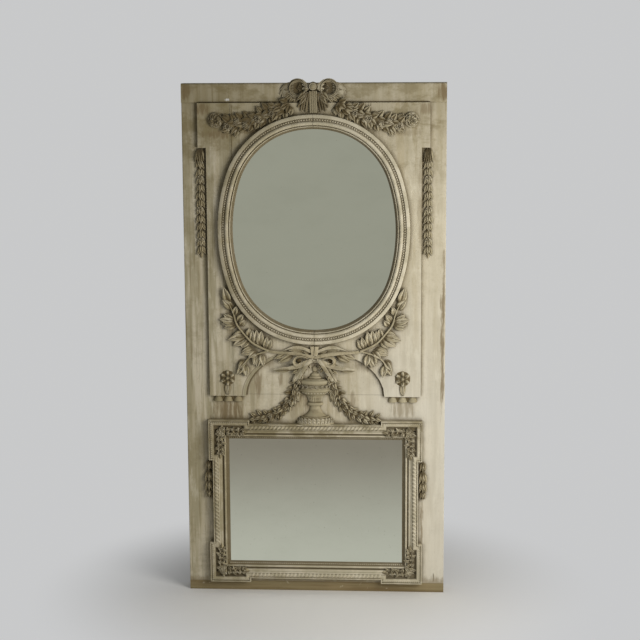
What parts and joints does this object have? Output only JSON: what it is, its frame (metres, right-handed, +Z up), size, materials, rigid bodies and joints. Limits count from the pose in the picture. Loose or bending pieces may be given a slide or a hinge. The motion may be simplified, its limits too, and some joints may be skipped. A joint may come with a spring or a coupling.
{
  "type": "trumeau mirror",
  "caption": "Tall painted trumeau mirror with an oval upper glass, an eared lower glass and carved garlands, bow, laurel and urn.",
  "frame": {"origin": "Centre of the sill's underside.", "axes": "+Z up, front of the mirror towards -Y, +X to the right as seen from the front."},
  "size_m": [1.12, 0.1418, 2.242],
  "materials": {
    "painted_board": "worn chalky cream paint over old wood",
    "painted_moulding": "worn cream paint with brown wash in the quirks",
    "painted_carving": "cream paint rubbed through over a brown ground",
    "bare_wood": "old unpainted wood",
    "mirror_glass": "aged silvered mirror",
    "black_iron": "forged black iron"
  },
  "bodies": {
    "root": {"apron_rail": "painted_board", "arch_ribbon": "painted_carving", "bow_knot": "painted_carving", "foot_panel_board": "painted_board", "foot_rail": "painted_board", "frame_bottom_rail": "painted_moulding", "frame_left_rail": "painted_moulding", "frame_right_rail": "painted_moulding", "frame_top_rail": "painted_moulding", "glazing_blocks": "bare_wood", "head_panel_board": "painted_board", "left_back_board": "bare_wood", "left_back_post": "bare_wood", "left_bow_loop": "painted_carving", "left_festoon": "painted_carving", "left_guttae": "painted_carving", "left_laurel_branch": "painted_carving", "left_long_drop": "painted_carving", "left_lower_acanthus": "painted_carving", "left_oval_frame": "painted_moulding", "left_panel_board": "painted_board", "left_short_drop": "painted_carving", "left_small_rosette": "painted_carving", "left_stile": "painted_board", "left_top_rosette": "painted_carving", "left_upper_acanthus": "painted_carving", "left_upper_garland": "painted_carving", "lower_back_rail": "bare_wood", "lower_backing": "bare_wood", "lower_glass": "mirror_glass", "mid_ground_rail": "painted_board", "middle_back_board": "bare_wood", "middle_back_rail": "bare_wood", "oval_backing": "bare_wood", "oval_glass": "mirror_glass", "right_back_board": "bare_wood", "right_back_post": "bare_wood", "right_bow_loop": "painted_carving", "right_festoon": "painted_carving", "right_guttae": "painted_carving", "right_laurel_branch": "painted_carving", "right_long_drop": "painted_carving", "right_lower_acanthus": "painted_carving", "right_oval_frame": "painted_moulding", "right_panel_board": "painted_board", "right_short_drop": "painted_carving", "right_small_rosette": "painted_carving", "right_stile": "painted_board", "right_top_rosette": "painted_carving", "right_upper_acanthus": "painted_carving", "right_upper_garland": "painted_carving", "sill": "bare_wood", "top_rail": "painted_board", "upper_back_rail": "bare_wood", "urn_bowl": "painted_carving", "urn_foot": "painted_carving", "urn_lid": "painted_carving", "wall_plate_nails": "black_iron", "wall_plates": "black_iron"}
  },
  "joints": []
}
